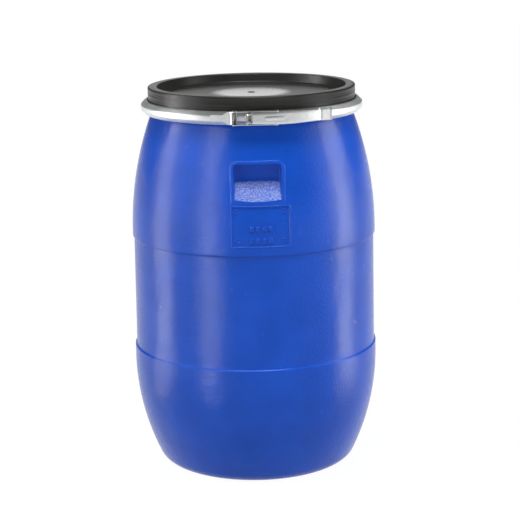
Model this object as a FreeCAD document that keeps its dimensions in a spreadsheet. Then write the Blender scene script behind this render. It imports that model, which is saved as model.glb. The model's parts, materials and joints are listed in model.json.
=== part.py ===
import FreeCAD, Part
import math
import os
import Sketcher
from FreeCAD import Placement, Rotation, Vector

# Plastic open head drum with lid, gasket and lever locking ring.
# The origin is the middle of the base on the floor, +Z is up and the latch faces -Y.
# An angle is measured round the drum from -Y towards +X.

SIZES = {
    # drum shell
    "shell_wall": 4.0, "base_radius": 155.5, "base_round": 30.0, "base_rise": 9.0,
    "foot_inner_radius": 144.0, "dish_radius": 128.0, "heel_radius": 183.0, "heel_height": 18.0,
    "belly_arc": 430.0, "belly_radius": 223.4, "belly_height": 200.0, "waist_low": 222.5,
    "waist_radius_low": 220.5, "waist_radius_high": 219.5, "waist_high": 426.2, "step_rise": 3.0,
    "shoulder_radius": 222.0, "shoulder_arc": 609.4, "neck_radius": 182.2, "neck_height": 649.0,
    "neck_bore": 178.0, "bead_under": 191.8, "bead_radius": 196.8, "mouth_height": 661.0,
    "foot_blend": 2.0, "foot_lead": 1.0, "heel_inner_radius": 179.3, "heel_inner_height": 19.7,
    "step_lead": 1.0, "open_above": 10.0, "bead_neck_height": 650.8, "bead_under_height": 651.6,
    "bead_low": 656.3, "bead_high": 659.5, "bead_top_radius": 195.5,
    # hand grip pockets and data panel
    "grip_low": 521.0, "grip_high": 583.5, "grip_half_width": 42.0, "grip_depth_radius": 185.0,
    "grip_floor_back": 551.5, "grip_roof_back": 590.0, "grip_run": 39.5, "grip_roof_run": 19.0,
    "grip_rim_width": 6.0, "grip_rim_proud": 1.5, "grip_drop": 9.0, "tray_back_drop": 1.7,
    "tray_front_drop": 60.7, "tool_inner": 150.0, "tool_outer": 240.0,
    "panel_low": 443.3, "panel_high": 511.4, "panel_half_width": 49.5, "panel_rim_width": 2.0,
    "panel_proud": 0.8, "panel_turn": 1.1, "stud_radius": 4.7, "stud_inset": 10.0,
    # lid and gasket
    "lid_wall_radius": 187.1, "lid_top": 696.5, "lid_wall": 3.0, "lid_round": 5.0,
    "rim_inner_radius": 171.0, "panel_edge_radius": 167.0, "lid_floor": 681.0,
    "ridge_radius": 140.0, "ridge_height": 683.0, "disc_height": 682.0, "disc_under": 678.5,
    "plug_inner": 173.6, "plug_outer": 176.6, "plug_low": 651.0, "flange_radius": 196.6,
    "flange_low": 661.3, "groove_inner": 185.8, "groove_outer": 193.2, "groove_roof": 666.0,
    "gasket_inner": 186.3, "gasket_outer": 192.7, "gasket_low": 661.05,
    "flange_edge": 4.9, "flange_bevel": 5.0, "flange_shoulder": 9.6, "flange_top": 10.4,
    # clamp band
    "band_mid": 661.0, "band_radius": 200.0, "band_facet": 4.2, "band_turn_radius": 199.2,
    "band_turn_height": 5.0, "band_slope_radius": 192.6, "band_slope_height": 11.6,
    "band_lip_radius": 189.2, "band_lip_height": 12.0, "band_sheet": 1.2,
    "band_gap_start": -12.5, "band_gap_end": -9.5,
    # latch
    "latch_mid": 662.5, "pivot_angle": -3.4, "pivot_radius": 206.0, "hook_angle": -10.4,
    "link_angle": 9.4, "link_radius": 204.5, "pin_radius": 2.5, "running_gap": 0.05,
    "steel_sheet": 1.5, "rivet_radius": 2.0, "rivet_head_radius": 3.6, "rivet_head": 1.1,
    "curve_gap": 0.3, "ear_low": 5.0, "ear_radius": 4.0, "cheek_low": 7.0, "cheek_wide_low": 8.7,
    "lever_face_radius": 209.0, "lever_flange_radius": 200.6, "lever_face_start": -1.9,
    "lever_step_angle": 6.0, "lever_bend_angle": 31.6, "tab_length": 24.0, "tab_flare": 6.0,
    "tab_half_height": 9.4, "rib_start": 3.0, "rib_end": 14.4, "rib_half_height": 3.0,
    "rib_proud": 0.8, "plate_low": 10.6, "plate_thick": 1.4, "plate_half_width": 4.5,
    "pivot_head_low": 8.7, "link_head_low": 12.05, "head_radius": 3.8, "head_thick": 1.8,
    "hook_base_start": -22.7, "hook_neck_angle": -16.0, "hook_flare_angle": -15.0,
    "hook_catch_angle": -11.9, "hook_end_angle": -8.9, "hook_neck_half": 5.2,
    "hook_wide_half": 11.0, "hook_catch_half": 10.3, "flare_run": 5.0, "flare_foot": 6.0,
    "flare_depth": 4.0, "lip_gap": 3.3, "lip_top": 0.7, "lip_deep": 3.4, "pierced_angle": -13.4,
    "pierced_radius": 1.4, "wall_reach": 5.0, "wall_thick": 1.4, "wall_lead": 1.0,
    "saddle_start": -5.3, "saddle_end": 7.6, "saddle_gap": 0.05, "hook_sheet": 1.3,
    "rivet_gap": 0.1, "arm_length": 12.0, "arm_drop": 0.8, "ear_margin": 1.0, "rib_root": 0.4,
    "web_angle": 0.4, "web_overlap": 0.5, "bore_start": 195.0, "bore_length": 12.0,
}
PIN_DISTANCE = ("2 * Dimensions.link_radius * "
                "sin((Dimensions.link_angle - Dimensions.hook_angle) / 2 * 1 deg)")
RIVET_ANGLES = {
    "anchor_rivet_1": -20.9, "anchor_rivet_2": -16.8, "pivot_rivet_1": 0.9, "pivot_rivet_2": 5.6,
}

doc = FreeCAD.newDocument("OpenHeadDrum")
sheet = doc.addObject("Spreadsheet::Sheet", "Dimensions")
rows = list(SIZES.items())
rows += [(name + "_angle", angle) for name, angle in RIVET_ANGLES.items()]
for row, (alias, number) in enumerate(rows, start=1):
    sheet.set(f"A{row}", alias)
    sheet.set(f"B{row}", str(number))
    sheet.setAlias(f"B{row}", alias)
doc.recompute()
nodes = []


def words_of(formula):
    """Give the signed words of a sum such as 'neck_radius - shell_wall'."""
    sign = 1
    for word in formula.split():
        if word in "+-":
            sign = -1 if word == "-" else 1
        else:
            yield sign, word


def value(formula):
    """The number that a sum of cells and plain numbers comes to."""
    total = 0.0
    for sign, word in words_of(formula):
        total += sign * (getattr(sheet, word) if word[0].isalpha() else float(word))
    return total


def bound(formula):
    """The same sum as an expression on the sheet's cells."""
    parts = []
    for sign, word in words_of(formula):
        cell = "Dimensions." + word if word[0].isalpha() else word
        parts.append(("- " if sign < 0 else "+ ") + cell)
    return " ".join(parts).removeprefix("+ ")


def span(high, low):
    """The sum for high less low."""
    flipped = " ".join(("+ " if sign < 0 else "- ") + word for sign, word in words_of(low))
    return f"{high} {flipped}"


def keep(feature, label):
    """Name a finished sub-part and put it on the list of nodes."""
    feature.Label = label
    nodes.append(feature)
    return feature


def arc_between(start, end, radius, bulge):
    """Circle arc from start to end; bulge +1 puts the centre left of the way, -1 right."""
    way = end - start
    middle = (start + end) * 0.5
    reach = math.sqrt(max(radius**2 - (way.Length / 2) ** 2, 0.0))
    centre = middle + Vector(-way.y, way.x, 0).normalize() * (reach * bulge)
    first = math.atan2(start.y - centre.y, start.x - centre.x)
    last = math.atan2(end.y - centre.y, end.x - centre.x)
    if bulge < 0:
        first, last = last, first
    return Part.ArcOfCircle(Part.Circle(centre, Vector(0, 0, 1), radius), first, last)


def outline(sketch, corners):
    """Draw a closed outline. A corner is (across, up) or (across, up, radius, bulge),
    whose radius and bulge shape the stretch that leaves it."""
    points = [Vector(value(corner[0]), value(corner[1]), 0) for corner in corners]
    ends = []
    for number, corner in enumerate(corners):
        start, end = points[number], points[(number + 1) % len(points)]
        if len(corner) == 2:
            piece = sketch.addGeometry(Part.LineSegment(start, end))
            ends.append((piece, 1, 2))
            continue
        radius, bulge = corner[2], corner[3]
        piece = sketch.addGeometry(arc_between(start, end, value(radius), bulge))
        ends.append((piece, 1, 2) if bulge > 0 else (piece, 2, 1))
        rule = sketch.addConstraint(Sketcher.Constraint("Radius", piece, value(radius)))
        sketch.setExpression(f"Constraints[{rule}]", bound(radius))
    for number, corner in enumerate(corners):
        piece, first, last = ends[number]
        follower = ends[(number + 1) % len(ends)]
        sketch.addConstraint(Sketcher.Constraint("Coincident", piece, last, follower[0], follower[1]))
        for kind, axis, formula in (("DistanceX", -2, corner[0]), ("DistanceY", -1, corner[1])):
            if formula == "0":
                rule = Sketcher.Constraint("PointOnObject", piece, first, axis)
                sketch.addConstraint(rule)
                continue
            rule = Sketcher.Constraint(kind, -1, 1, piece, first, value(formula))
            place = sketch.addConstraint(rule)
            sketch.setExpression(f"Constraints[{place}]", bound(formula))


def origin_plane(body, role):
    """One of the body's own origin planes or axes."""
    return next(item for item in body.Origin.OriginFeatures if item.Role == role)


def turned_body(name, corners, degrees=None, start=None):
    """A PartDesign body made by turning an outline of (radius, height) about Z."""
    body = doc.addObject("PartDesign::Body", name)
    sketch = body.newObject("Sketcher::SketchObject", name + "_outline")
    sketch.AttachmentSupport = (origin_plane(body, "XZ_Plane"), [""])
    sketch.MapMode = "FlatFace"
    outline(sketch, corners)
    turn = body.newObject("PartDesign::Revolution", name + "_turn")
    turn.Profile = sketch
    turn.ReferenceAxis = (sketch, ["V_Axis"])
    turn.Angle = 360.0
    if degrees:
        turn.setExpression("Angle", bound(degrees))
    if start:
        body.Placement = Placement(Vector(0, 0, 0), Rotation(Vector(0, 0, 1), value(start) - 90.0))
    doc.recompute()
    body.Tip = turn
    return body


def on_ring(angle, radius="0", height="0"):
    """Placement at an angle round the drum: local X runs along the ring, local Y inwards."""
    turn = Rotation(Vector(0, 0, 1), value(angle))
    return Placement(turn.multVec(Vector(0, -value(radius), 0)) + Vector(0, 0, value(height)), turn)


def set_sizes(feature, **formulas):
    """Bind the named sizes of a primitive to the sheet."""
    for size, formula in formulas.items():
        feature.setExpression(size, bound(formula))
    return feature


def cylinder(name, radius, length, place):
    """An upright cylinder whose bottom centre is at the placement."""
    feature = doc.addObject("Part::Cylinder", name)
    set_sizes(feature, Radius=radius, Height=length)
    feature.Placement = place
    return feature


def block(name, wide, deep, tall, place):
    """A block whose low corner is at the placement."""
    feature = doc.addObject("Part::Box", name)
    set_sizes(feature, Length=wide, Width=deep, Height=tall)
    feature.Placement = place
    return feature


def moved(place, across="0", inwards="0", up="0"):
    """A placement shifted along its own axes."""
    return place.multiply(Placement(Vector(value(across), value(inwards), value(up)), Rotation()))


def cut(name, base, tool):
    """base without tool."""
    feature = doc.addObject("Part::Cut", name)
    feature.Base = base
    feature.Tool = tool
    return feature


def joined(name, pieces, kind="Part::MultiFuse"):
    """The union of several features, or their overlap when kind says so."""
    feature = doc.addObject(kind, name)
    feature.Shapes = pieces
    if kind == "Part::MultiFuse":
        feature.Refine = True
    return feature


def sector(name, inner, outer, low, high, first, last):
    """A stretch of ring between two radii, two heights and two angles."""
    start = Placement(Vector(0, 0, value(low)), Rotation(Vector(0, 0, 1), value(first) - 90.0))
    rings = []
    for part, radius in (("outer", outer), ("inner", inner)):
        rings.append(cylinder(f"{name}_{part}", radius, span(high, low), start))
    set_sizes(rings[0], Angle=span(last, first))
    return cut(name, rings[0], rings[1])


def above_and_below(name, low, high, maker):
    """Make the same piece above and below the latch's middle plane."""
    upper = maker(name + "_upper", f"latch_mid + {low}", f"latch_mid + {high}")
    lower = maker(name + "_lower", span("latch_mid", high), span("latch_mid", low))
    return upper, lower


# ---- drum body -------------------------------------------------------------------------
def shell_corners(inset):
    """Half section of the drum, filled to the axis, inset by the wall for the inside."""
    if inset:
        return [
            ("0", "base_rise + shell_wall"),
            ("dish_radius - foot_blend", "base_rise + shell_wall"),
            ("foot_inner_radius + foot_lead", "shell_wall"),
            ("base_radius", "shell_wall", "base_round - shell_wall", 1),
            ("heel_inner_radius", "heel_inner_height", "belly_arc - shell_wall", 1),
            ("belly_radius - shell_wall", "belly_height"),
            ("belly_radius - shell_wall", "waist_low - step_lead"),
            ("waist_radius_low - shell_wall", "waist_low + step_rise"),
            ("waist_radius_high - shell_wall", "waist_high - step_rise"),
            ("shoulder_radius - shell_wall", "waist_high", "shoulder_arc - shell_wall", 1),
            ("neck_bore", "neck_height"),
            ("neck_bore", "mouth_height + open_above"),
            ("0", "mouth_height + open_above"),
        ]
    return [
        ("0", "base_rise"),
        ("dish_radius", "base_rise"),
        ("foot_inner_radius", "0"),
        ("base_radius", "0", "base_round", 1),
        ("heel_radius", "heel_height", "belly_arc", 1),
        ("belly_radius", "belly_height"),
        ("belly_radius", "waist_low"),
        ("waist_radius_low", "waist_low + step_rise"),
        ("waist_radius_high", "waist_high - step_rise"),
        ("shoulder_radius", "waist_high", "shoulder_arc", 1),
        ("neck_radius", "neck_height"),
        ("neck_radius", "bead_neck_height"),
        ("bead_under", "bead_under_height"),
        ("bead_radius", "bead_low"),
        ("bead_radius", "bead_high"),
        ("bead_top_radius", "mouth_height"),
        ("0", "mouth_height"),
    ]


def shoulder_layer(name, proud):
    """The shoulder's outside, grown by how proud a raised feature stands."""
    corners = [
        ("0", "waist_high"),
        (f"shoulder_radius + {proud}", "waist_high", f"shoulder_arc + {proud}", 1),
        (f"neck_radius + {proud}", "neck_height"),
        ("0", "neck_height"),
    ]
    return turned_body(name, corners)


def prism(name, corners, width, turn):
    """An outline of (outwards, up) made width wide, centred on the angle that is given."""
    sketch = doc.addObject("Sketcher::SketchObject", name + "_outline")
    outline(sketch, corners)
    feature = doc.addObject("Part::Extrusion", name)
    feature.Base = sketch
    feature.DirMode = "Custom"
    feature.Dir = Vector(0, 0, 1)
    feature.Solid = True
    feature.Symmetric = True
    feature.setExpression("LengthFwd", bound(width))
    # sketch X becomes outwards, sketch Y becomes up, the extrusion runs along the ring
    stand = Rotation(Vector(0, -1, 0), Vector(0, 0, 1), Vector(-1, 0, 0), "XYZ")
    feature.Placement = Placement(Vector(0, 0, 0), Rotation(Vector(0, 0, 1), turn)).multiply(
        Placement(Vector(0, 0, 0), stand))
    return feature


def box_prism(name, half_width, low, high, turn):
    """A plain block from deep inside the wall to well outside it."""
    corners = [("tool_inner", low), ("tool_outer", low), ("tool_outer", high), ("tool_inner", high)]
    return prism(name, corners, f"{half_width} + {half_width}", turn)


def make_drum():
    """Blow moulded body: outer form with raised rims, less the inside and the pockets."""
    solid = turned_body("drum_form", shell_corners(False))
    inside = turned_body("drum_inside", shell_corners(True))
    rim_layer = shoulder_layer("grip_layer", "grip_rim_proud")
    panel_layer = shoulder_layer("panel_layer", "panel_proud")
    raised, trays, pockets = [], [], []
    for side, turn in (("front", 0.0), ("back", 180.0)):
        rim_outer = box_prism(f"rim_outer_{side}", "grip_half_width + grip_rim_width", "grip_low",
                              "grip_high + grip_rim_width", turn)
        raised.append(joined(f"grip_rim_{side}", [rim_outer, rim_layer], "Part::MultiCommon"))
        pockets.append(prism(f"pocket_{side}", [
            ("grip_depth_radius", "grip_floor_back"),
            ("grip_depth_radius + grip_run", "grip_low - grip_drop"),
            ("tool_outer", "grip_low - grip_drop"),
            ("tool_outer", "grip_high"),
            ("grip_depth_radius + grip_roof_run", "grip_high"),
            ("grip_depth_radius", "grip_roof_back"),
        ], "grip_half_width + grip_half_width", turn))
        trays.append(prism(f"tray_{side}", [
            ("grip_depth_radius - shell_wall", "grip_floor_back - tray_back_drop"),
            ("tool_outer", "grip_floor_back - tray_front_drop"),
            ("tool_outer", "grip_high + shell_wall"),
            ("grip_depth_radius + grip_roof_run", "grip_high + shell_wall"),
            ("grip_depth_radius - shell_wall", "grip_roof_back + shell_wall"),
        ], "grip_half_width + grip_half_width + shell_wall + shell_wall", turn))
    turn = value("panel_turn")
    frame_outer = box_prism("panel_outer", "panel_half_width + panel_rim_width",
                            "panel_low - panel_rim_width", "panel_high + panel_rim_width", turn)
    frame_inner = box_prism("panel_inner", "panel_half_width", "panel_low", "panel_high", turn)
    frame = cut("panel_frame", frame_outer, frame_inner)
    raised.append(joined("panel_rim", [frame, panel_layer], "Part::MultiCommon"))
    for across in ("panel_half_width - stud_inset", "stud_inset - panel_half_width"):
        for level in ("panel_low + stud_inset", "panel_high - stud_inset"):
            number = len(raised)
            facing = Placement(Vector(0, 0, 0), Rotation(Vector(0, 0, 1), turn)).multiply(
                Placement(Vector(value(across), -205.0, value(level)),
                          Rotation(Vector(1, 0, 0), 90.0)))
            stud = cylinder(f"stud_{number}", "stud_radius", "30", facing)
            raised.append(joined(f"panel_stud_{number}", [stud, panel_layer], "Part::MultiCommon"))
    outside = joined("drum_outside", [solid] + raised)
    hollow = cut("drum_hollow", inside, joined("grip_trays", trays))
    shell = cut("drum_shell", outside, hollow)
    keep(cut("drum_body", shell, joined("grip_pockets", pockets)), "drum_body")


# ---- lid, gasket and band --------------------------------------------------------------
def make_lid():
    """Injection moulded lid: sunk panel, hollow rim, plug skirt and flange with its groove."""
    keep(turned_body("lid", [
        ("0", "disc_under"),
        ("plug_inner", "disc_under"),
        ("plug_inner", "plug_low"),
        ("plug_outer", "plug_low"),
        ("plug_outer", "lid_top - lid_wall - 2"),
        ("plug_outer + 1.5", "lid_top - lid_wall"),
        ("lid_wall_radius - lid_wall - 2", "lid_top - lid_wall"),
        ("lid_wall_radius - lid_wall", "lid_top - lid_wall - 2"),
        ("lid_wall_radius - lid_wall", "flange_low"),
        ("groove_inner", "flange_low"),
        ("groove_inner", "groove_roof"),
        ("groove_outer", "groove_roof"),
        ("groove_outer", "flange_low"),
        ("flange_radius", "flange_low"),
        ("flange_radius", "band_mid + flange_edge"),
        ("flange_radius - flange_bevel", "band_mid + flange_shoulder"),
        ("lid_wall_radius", "band_mid + flange_top"),
        ("lid_wall_radius", "lid_top - lid_round", "lid_round", 1),
        ("lid_wall_radius - lid_round", "lid_top"),
        ("rim_inner_radius", "lid_top"),
        ("panel_edge_radius", "lid_floor"),
        ("ridge_radius + 2", "lid_floor"),
        ("ridge_radius + 1", "ridge_height"),
        ("ridge_radius - 1", "ridge_height"),
        ("ridge_radius - 2", "disc_height"),
        ("0", "disc_height"),
    ]), "lid")


def make_gasket():
    """Rubber ring in the groove under the flange."""
    keep(turned_body("gasket", [
        ("gasket_inner", "gasket_low"),
        ("gasket_outer", "gasket_low"),
        ("gasket_outer", "groove_roof"),
        ("gasket_inner", "groove_roof"),
    ]), "gasket")


def radial_bore(name, angle, radius, start, length):
    """A cylinder that points outwards through the band at the given angle."""
    place = on_ring(angle, start, "band_mid").multiply(
        Placement(Vector(0, 0, 0), Rotation(Vector(1, 0, 0), 90.0)))
    return cylinder(name, radius, length, place)


def make_band():
    """V-section sheet band, open at the front, with its rivet holes."""
    half = [
        ("band_radius", "band_facet"),
        ("band_turn_radius", "band_turn_height"),
        ("band_slope_radius", "band_slope_height"),
        ("band_lip_radius", "band_lip_height"),
        ("band_lip_radius", "band_lip_height - band_sheet"),
        ("band_slope_radius - 0.5", "band_slope_height - band_sheet"),
        ("band_turn_radius - band_sheet", "band_turn_height - 0.5"),
        ("band_radius - band_sheet", "band_facet - 0.5"),
    ]
    corners = [(across, "band_mid + " + up) for across, up in half]
    for across, up in reversed(half):
        corners.append((across, "band_mid - " + up.replace(" - ", " + ")))
    band = turned_body("band_strip", corners, "360 - band_gap_end + band_gap_start", "band_gap_end")
    bores = []
    for rivet in RIVET_ANGLES:
        angle = rivet + "_angle"
        bores.append(radial_bore(rivet + "_band_bore", angle, "rivet_radius + running_gap", "190", "20"))
    keep(cut("clamp_band", band, joined("band_bores", bores)), "clamp_band")


# ---- rivets and pins -------------------------------------------------------------------
def make_rivets():
    """Each rivet: a shank through bracket and band with a flat head at both ends."""
    for name in RIVET_ANGLES:
        base = "hook_base" if name.startswith("anchor") else "saddle_base"
        sheet_top = "band_radius + curve_gap + steel_sheet" if base == "hook_base" else \
            "band_radius + saddle_gap + steel_sheet"
        inner_end = "band_radius - band_sheet - curve_gap - rivet_head"
        angle = name + "_angle"
        length = f"{sheet_top} + rivet_gap + rivet_head - band_radius + band_sheet + curve_gap + rivet_head"
        pieces = [
            radial_bore(name + "_shank", angle, "rivet_radius", inner_end, length),
            radial_bore(name + "_inner_head", angle, "rivet_head_radius", inner_end, "rivet_head"),
            radial_bore(name + "_outer_head", angle, "rivet_head_radius", sheet_top + " + rivet_gap",
                        "rivet_head"),
        ]
        keep(joined(name, pieces), name)


def headed_pin(name, angle, radius, head_low, label):
    """An upright pin with a head above and below the latch."""
    place = on_ring(angle, radius, f"latch_mid - {head_low} - head_thick")
    pieces = [cylinder(name + "_shank", "pin_radius",
                       f"{head_low} + {head_low} + head_thick + head_thick", place)]
    for side, level in (("low", f"latch_mid - {head_low} - head_thick"),
                        ("high", f"latch_mid + {head_low}")):
        pieces.append(cylinder(f"{name}_{side}_head", "head_radius", "head_thick",
                               on_ring(angle, radius, level)))
    keep(joined(name, pieces), label)


def make_pins():
    """Lever pivot, link pin and the cross pin that sits in the hook."""
    headed_pin("pivot_pin", "pivot_angle", "pivot_radius", "pivot_head_low", "pivot_pin")
    headed_pin("link_pin", "link_angle", "link_radius", "link_head_low", "link_pin")
    headed_pin("anchor_pin", "hook_angle", "link_radius", "link_head_low", "anchor_pin")


# ---- brackets --------------------------------------------------------------------------
def make_anchor_bracket():
    """Strip riveted to the band's left end that widens into the hook under the cross pin."""
    low, high = "band_radius + curve_gap", "band_radius + curve_gap + hook_sheet"
    strip = sector("hook_strip", low, high, "latch_mid - hook_neck_half", "latch_mid + hook_neck_half",
                   "hook_base_start", "hook_flare_angle")
    pad = sector("hook_pad", low, high, "latch_mid - hook_wide_half", "latch_mid + hook_wide_half",
                 "hook_flare_angle", "hook_catch_angle")
    catch = sector("hook_catch", low, high, "latch_mid - hook_catch_half", "latch_mid + hook_catch_half",
                   "hook_catch_angle - 0.2", "hook_end_angle")
    pin_place = on_ring("hook_angle", "link_radius", "latch_mid - hook_catch_half")
    lip = block("hook_lip", "steel_sheet", "lip_deep", "hook_catch_half + hook_catch_half",
                moved(pin_place, "lip_gap", "lip_top"))
    slope_pieces = []
    for side, turn in (("upper", 1), ("lower", -1)):
        wedge = doc.addObject("Part::Wedge", "hook_wedge_" + side)
        for corner in ("Xmin", "Ymin", "Zmin", "Z2min"):
            setattr(wedge, corner, 0.0)
        set_sizes(wedge, X2min="flare_run", Xmax="flare_foot", X2max="flare_foot",
                  Ymax="hook_wide_half - hook_neck_half", Zmax="flare_depth", Z2max="flare_depth")
        tilt = Rotation(Vector(1, 0, 0), 90.0 * turn)
        level = "latch_mid + hook_neck_half" if turn > 0 else "latch_mid - hook_neck_half"
        place = on_ring("hook_flare_angle", "band_radius + 1", level)
        wedge.Placement = place.multiply(
            Placement(Vector(-5.2, 2.0 * turn, 0), tilt))
        slope_pieces.append(wedge)
    ring = sector("hook_slope_ring", low, high, "latch_mid - hook_wide_half",
                  "latch_mid + hook_wide_half", "hook_neck_angle - 1", "hook_flare_angle + 0.5")
    slopes = joined("hook_slopes", [joined("hook_wedges", slope_pieces), ring], "Part::MultiCommon")
    solid = joined("hook_solid", [strip, pad, catch, lip, slopes])
    bores = [radial_bore(name + "_hook_bore", name + "_angle", "rivet_radius", "bore_start", "bore_length")
             for name in ("anchor_rivet_1", "anchor_rivet_2")]
    bores.append(radial_bore("pierced_hole", "pierced_angle", "pierced_radius", "bore_start", "bore_length"))
    keep(cut("anchor_bracket", solid, joined("hook_bores", bores)), "anchor_bracket")


def make_pivot_bracket():
    """Saddle riveted to the band's right end, with two ears for the pivot and a cross wall."""
    saddle = sector("saddle", "band_radius + saddle_gap", "band_radius + saddle_gap + steel_sheet",
                    "latch_mid - ear_low - steel_sheet", "latch_mid + ear_low + steel_sheet",
                    "saddle_start", "saddle_end")

    def ear(name, low, high):
        tall = "steel_sheet"
        place = on_ring("pivot_angle", "pivot_radius", low)
        round_end = cylinder(name + "_round", "ear_radius", tall, place)
        foot = block(name + "_foot", "wall_reach + ear_radius", "pivot_radius - band_radius - 0.8",
                     tall, moved(place, "0 - wall_reach"))
        return joined(name, [round_end, foot])

    ears = above_and_below("pivot_ear", "ear_low", "ear_low + steel_sheet", ear)
    middle = on_ring("pivot_angle", "pivot_radius", "latch_mid - ear_low - steel_sheet")
    wall = block("cross_wall", "wall_thick", "pivot_radius - band_radius - saddle_gap - steel_sheet",
                 "ear_low + ear_low + steel_sheet + steel_sheet",
                 moved(middle, "0 - wall_reach - wall_thick", "wall_lead"))
    solid = joined("pivot_solid", [saddle, wall] + list(ears))
    bores = [radial_bore(name + "_saddle_bore", name + "_angle", "rivet_radius", "bore_start", "bore_length")
             for name in ("pivot_rivet_1", "pivot_rivet_2")]
    bores.append(cylinder("pivot_bore", "pin_radius", "40",
                          on_ring("pivot_angle", "pivot_radius", "latch_mid - 20")))
    keep(cut("pivot_bracket", solid, joined("pivot_bores", bores)), "pivot_bracket")


# ---- lever and links -------------------------------------------------------------------
def lever_stretch(name, first, last, cheek):
    """Channel section of the lever between two angles: a face and two flanges."""
    top = f"{cheek} + steel_sheet"
    whole = sector(name + "_whole", "lever_flange_radius", "lever_face_radius",
                   f"latch_mid - {cheek} - steel_sheet", f"latch_mid + {top}", first, last)
    hollow = sector(name + "_hollow", "lever_flange_radius - 1", "lever_face_radius - steel_sheet",
                    f"latch_mid - {cheek}", f"latch_mid + {cheek}", f"{first} - 1", f"{last} + 1")
    return cut(name, whole, hollow)


def make_lever():
    """Pressed channel that widens in a step, with pivot ears, a rib and a flared thumb tab."""
    stretches = [
        lever_stretch("lever_narrow", "lever_face_start", "lever_step_angle + web_angle", "cheek_low"),
        lever_stretch("lever_wide", "lever_step_angle", "lever_bend_angle", "cheek_wide_low"),
    ]

    def web(name, low, high):
        return sector(name, "lever_flange_radius", "lever_face_radius", low, high,
                      "lever_step_angle", "lever_step_angle + web_angle")

    stretches += above_and_below("lever_web", "cheek_low", "cheek_wide_low + web_overlap", web)

    def ear(name, low, high):
        place = on_ring("pivot_angle", "pivot_radius", low)
        return joined(name, [
            cylinder(name + "_round", "ear_radius + ear_margin", "steel_sheet", place),
            block(name + "_arm", "arm_length", "ear_radius + arm_drop", "steel_sheet", place),
        ])

    ears = above_and_below("lever_ear", "cheek_low", "cheek_low + steel_sheet", ear)
    tab_place = on_ring("lever_bend_angle", "lever_face_radius", "latch_mid - tab_half_height")
    tab = block("lever_tab", "tab_length", "steel_sheet", "tab_half_height + tab_half_height",
                moved(tab_place, "0 - 1").multiply(
                    Placement(Vector(0, 0, 0), Rotation(Vector(0, 0, 1), -value("tab_flare")))))
    rib_low = "lever_face_radius - rib_root"
    rib = sector("lever_rib", rib_low, "lever_face_radius + rib_proud",
                 "latch_mid - rib_half_height", "latch_mid + rib_half_height", "rib_start", "rib_end")
    solid = joined("lever_solid", stretches + list(ears) + [tab, rib])
    bores = []
    for name, angle, radius in (("pivot", "pivot_angle", "pivot_radius"),
                                ("link", "link_angle", "link_radius")):
        place = on_ring(angle, radius, "latch_mid - 20")
        bores.append(cylinder(f"lever_{name}_bore", "pin_radius + running_gap", "40", place))
    keep(cut("lever", solid, joined("lever_bores", bores)), "lever")


def make_links():
    """Two flat bars with round ends that reach from the lever's pin to the cross pin."""
    first = on_ring("hook_angle", "link_radius").Base
    last = on_ring("link_angle", "link_radius").Base
    way = last - first
    lean = Rotation(Vector(1, 0, 0), way)
    for label, level in (("link_plate_upper", "latch_mid + plate_low"),
                         ("link_plate_lower", "latch_mid - plate_low - plate_thick")):
        lift = Vector(0, 0, value(level))
        half = value("plate_half_width")
        place = Placement(first + lift, lean).multiply(Placement(Vector(0, -half, 0), Rotation()))
        bar = block(label + "_bar", "plate_thick", "plate_half_width + plate_half_width",
                    "plate_thick", place)
        bar.setExpression("Length", PIN_DISTANCE)
        ends = [cylinder(f"{label}_end_{number}", "plate_half_width", "plate_thick",
                         Placement(spot + lift, Rotation()))
                for number, spot in enumerate((first, last))]
        bores = [cylinder(f"{label}_bore_{number}", "pin_radius", "plate_thick",
                          Placement(spot + lift, Rotation()))
                 for number, spot in enumerate((first, last))]
        solid = joined(label + "_solid", [bar] + ends)
        keep(cut(label, solid, joined(label + "_bores", bores)), label)


make_drum()
make_lid()
make_gasket()
make_band()
make_rivets()
make_pins()
make_anchor_bracket()
make_pivot_bracket()
make_lever()
make_links()
doc.recompute()

for item in doc.Objects:
    if "Invalid" in item.State or "Error" in item.State:
        raise RuntimeError(f"{item.Name} did not compute: {item.State}")
os.makedirs("parts", exist_ok=True)
for node in nodes:
    shape = node.Shape
    if shape.isNull() or not shape.isValid() or not shape.Solids:
        raise RuntimeError(f"{node.Label} has no valid shape")
    shape.exportStep(f"parts/{node.Label}.step")
    print(node.Label, len(shape.Solids), "solid,", round(shape.Volume / 1000, 2), "cm3")
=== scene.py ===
import json
import math

import bpy
from mathutils import Euler, Matrix, Vector

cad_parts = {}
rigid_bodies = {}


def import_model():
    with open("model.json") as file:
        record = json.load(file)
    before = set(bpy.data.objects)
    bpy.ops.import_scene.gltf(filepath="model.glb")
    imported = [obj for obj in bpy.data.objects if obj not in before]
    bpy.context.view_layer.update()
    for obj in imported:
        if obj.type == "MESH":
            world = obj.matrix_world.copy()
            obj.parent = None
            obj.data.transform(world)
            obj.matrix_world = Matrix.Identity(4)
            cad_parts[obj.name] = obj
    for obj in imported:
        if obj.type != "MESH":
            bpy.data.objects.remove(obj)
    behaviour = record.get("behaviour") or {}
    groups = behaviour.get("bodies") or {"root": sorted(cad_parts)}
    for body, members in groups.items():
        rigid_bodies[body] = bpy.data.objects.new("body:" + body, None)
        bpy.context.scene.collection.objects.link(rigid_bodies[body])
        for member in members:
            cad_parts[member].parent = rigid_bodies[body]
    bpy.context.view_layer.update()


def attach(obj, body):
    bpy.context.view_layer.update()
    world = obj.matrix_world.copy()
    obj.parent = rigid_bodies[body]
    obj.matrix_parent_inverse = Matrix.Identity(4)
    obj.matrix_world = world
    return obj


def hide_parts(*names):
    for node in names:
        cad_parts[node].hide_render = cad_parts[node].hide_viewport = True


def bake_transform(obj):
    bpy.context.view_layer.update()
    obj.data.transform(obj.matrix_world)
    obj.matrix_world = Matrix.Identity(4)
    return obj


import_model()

MM = 0.001

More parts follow.
